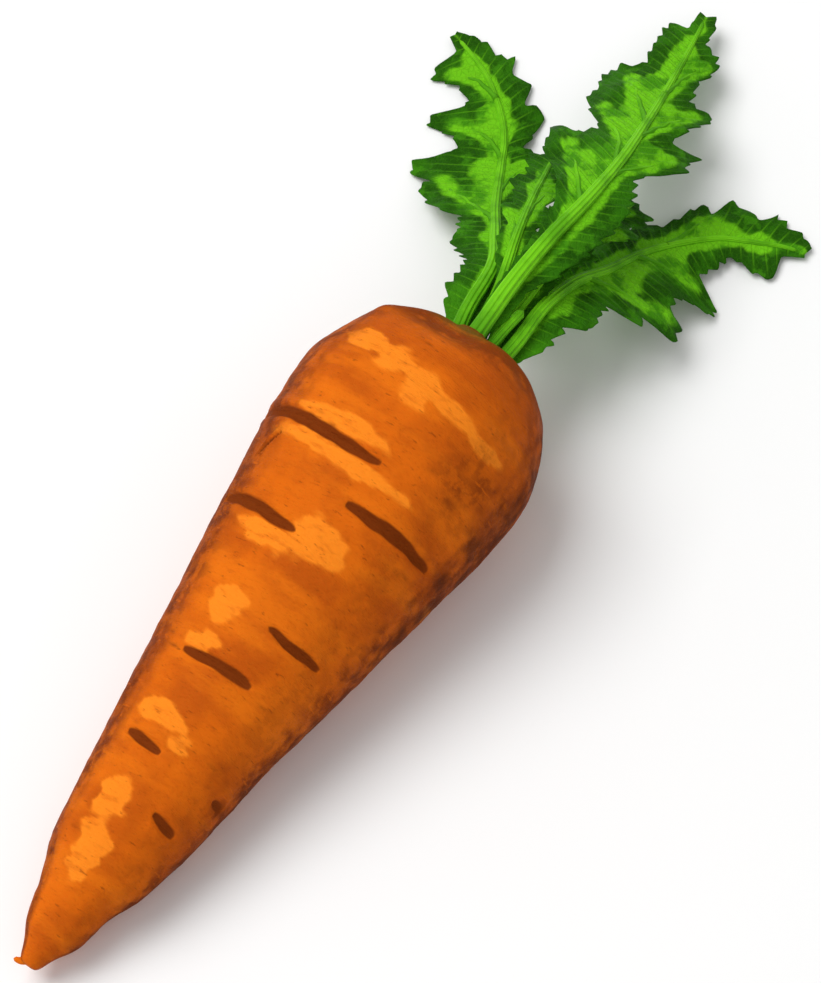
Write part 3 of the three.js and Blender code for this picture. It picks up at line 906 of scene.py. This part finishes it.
def blade_material():
    """Leaf green: a painted highlight in brighter green along the ribs, dark towards the margins, with side
    veins.
    """
    made, wire, place = new_material("leaf_blade")
    run, edge = wire.mask("run"), wire.mask("edge")

    colour = wire.blend(tone(wire, place, 150.0, 0.42, 0.62), LEAF_DEEP, LEAF_DARK)
    patches = wire.math("MULTIPLY", tone(wire, place, 190.0, 0.54, 0.62), 0.55)
    colour = wire.blend(patches, colour, LEAF_MID)
    # Painted highlight along the ribs.
    bright = wire.mask("bright")
    lit = wire.blend(tone(wire, place, 130.0, 0.38, 0.5), LEAF_MID, LEAF_BRIGHT)
    colour = wire.blend(bright, colour, lit)
    colour = wire.blend(wire.math("MULTIPLY", wire.mask("base"), 0.7), colour, LEAF_MID)

    turns = 2 * math.pi * VEIN_RUN / VEIN_SPACING
    wave = wire.math("SINE", wire.math("MULTIPLY", run, turns))
    vein = wire.between(wave, 0.86, 0.99)
    vein = wire.math("MULTIPLY", vein, wire.math("SUBTRACT", 1.0, edge))
    colour = wire.blend(wire.math("MULTIPLY", vein, 0.5), colour, LEAF_BRIGHT)

    cells = wire.add("ShaderNodeTexVoronoi", {"Vector": place, "Scale": 900.0},
                     feature="DISTANCE_TO_EDGE").outputs["Distance"]
    net = wire.math("SUBTRACT", 1.0, wire.between(cells, 0.0, 0.16))
    colour = wire.blend(wire.math("MULTIPLY", net, 0.16), colour, LEAF_MID)
    height = wire.math("SUBTRACT", relief(wire, place, 800.0, 0.3), wire.math("MULTIPLY", net, 0.5))
    height = wire.math("SUBTRACT", height, wire.math("MULTIPLY", vein, 1.2))
    rough = wire.math("MULTIPLY_ADD", tone(wire, place, 240.0, 0.3, 0.7), 0.14, 0.46)
    finish_material(wire, colour, rough, height, 0.00035, 0.6,
                    Specular_IOR_Level=0.03, Subsurface_Weight=0.08,
                    Subsurface_Radius=(0.3, 0.8, 0.1), Subsurface_Scale=0.0012)
    return made


def stalk_material():
    """Bright green stalks with fine lengthwise strings, paler at the crown, with painted shade underneath
    and between the strings.
    """
    made, wire, place = new_material("leaf_stalk")
    colour = wire.blend(tone(wire, place, 140.0, 0.36, 0.6), STALK_SHADE, STALK_GREEN)
    colour = wire.blend(wire.math("MULTIPLY", wire.mask("base"), 0.75), colour, LEAF_MID)
    # Painted shade on the underside of each stalk.
    under = wire.math("SUBTRACT", 1.0, wire.between(wire.mask("top"), 0.1, 0.6))
    colour = wire.blend(wire.math("MULTIPLY", under, 0.5), colour, STALK_SHADE)
    # Painted shade in the hollows between the strings.
    string = wire.between(wire.mask("string"), 0.15, 0.85)
    hollow_shade = wire.math("SUBTRACT", 1.0, string)
    colour = wire.blend(wire.math("MULTIPLY", hollow_shade, 0.38), colour, STALK_SHADE)
    height = wire.math("ADD", relief(wire, place, 900.0, 0.2), wire.math("MULTIPLY", string, 0.8))
    rough = wire.math("MULTIPLY_ADD", tone(wire, place, 300.0, 0.3, 0.7), 0.12, 0.40)
    finish_material(wire, colour, rough, height, 0.0003, 0.5,
                    Specular_IOR_Level=0.05, Subsurface_Weight=0.1,
                    Subsurface_Radius=(0.4, 0.9, 0.1), Subsurface_Scale=0.0015)
    return made


def floor_material():
    made, wire, place = new_material("floor")
    colour = wire.blend(tone(wire, place, 3.0, 0.2, 0.8), FLOOR_WHITE, FLOOR_CREAM)
    finish_material(wire, colour, 0.8, relief(wire, place, 60.0, 0.0), 0.0001, 0.05,
                    Specular_IOR_Level=0.1)
    return made


# ---------- studio ----------

CAMERA_HEADING = math.radians(35.27)    # from +X towards +Y
CAMERA_DIP = math.radians(62)           # below the horizon
CAMERA_DISTANCE = 740 * MM
CAMERA_LENS = 135                       # mm, on a 36 mm sensor

# Area lights: heading from +X towards +Y and elevation in degrees, distance and size in metres, watts.
SOFTBOXES = [("key", 108, 64, 2.0, 1.3, 30.0), ("fill", 200, 60, 2.0, 1.6, 4.0)]
LIGHT_TARGET = Vector((0, 0, 0.02))
WORLD_STRENGTH = 0.46


def camera_aim():
    """The point that the camera looks at: near the shoulder, a little above the surface."""
    return Vector((tip.x + 122.1 * MM, tip.y - 3.2 * MM, 15 * MM))


def add_camera():
    way = Vector((
        math.cos(CAMERA_DIP) * math.cos(CAMERA_HEADING),
        math.cos(CAMERA_DIP) * math.sin(CAMERA_HEADING),
        -math.sin(CAMERA_DIP),
    ))
    camera = bpy.data.objects.new("camera", bpy.data.cameras.new("camera"))
    camera.data.lens = CAMERA_LENS
    camera.data.sensor_width = 36
    camera.data.clip_start = 0.01
    camera.location = camera_aim() - way * CAMERA_DISTANCE
    camera.rotation_euler = way.to_track_quat("-Z", "Y").to_euler()
    bpy.context.scene.collection.objects.link(camera)
    bpy.context.scene.camera = camera


def add_softbox(name, heading, elevation, distance, size, power):
    """A square area light that points at the middle of the carrot."""
    heading, elevation = math.radians(heading), math.radians(elevation)
    way = Vector((
        math.cos(elevation) * math.cos(heading),
        math.cos(elevation) * math.sin(heading),
        math.sin(elevation),
    ))
    light = bpy.data.objects.new(name, bpy.data.lights.new(name, "AREA"))
    light.data.size = size
    light.data.energy = power
    light.location = LIGHT_TARGET + way * distance
    light.rotation_euler = (-way).to_track_quat("-Z", "Y").to_euler()
    bpy.context.scene.collection.objects.link(light)


def add_studio():
    start_clean()
    bpy.ops.mesh.primitive_plane_add(size=6)
    floor = bpy.context.object
    floor.name = "floor"
    floor.data.materials.append(floor_material())
    for softbox in SOFTBOXES:
        add_softbox(*softbox)
    world = bpy.data.worlds.new("studio")
    bpy.context.scene.world = world
    world.use_nodes = True
    background = world.node_tree.nodes["Background"]
    background.inputs["Color"].default_value = (1, 1, 1, 1)
    background.inputs["Strength"].default_value = WORLD_STRENGTH
    bpy.context.scene.view_settings.view_transform = "Standard"


# ---------- assembly ----------

def place_piece(piece, material, node):
    piece.data.materials.clear()
    piece.data.materials.append(material)
    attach(piece, "root")
    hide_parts(node)


add_camera()
skin, blade, stalk = skin_material(), blade_material(), stalk_material()
place_piece(root_piece(), skin, "carrot_root")
for number, (label, frond) in enumerate(FRONDS.items()):
    seed = 40 + 10 * number
    place_piece(blade_piece(label + "_leaf", frond, seed), blade, label + "_blade")
    place_piece(stalk_piece(label + "_rib", frond, seed), stalk, label + "_stalk")
place_piece(short_stalk_piece(), stalk, "short_stalk")
add_studio()
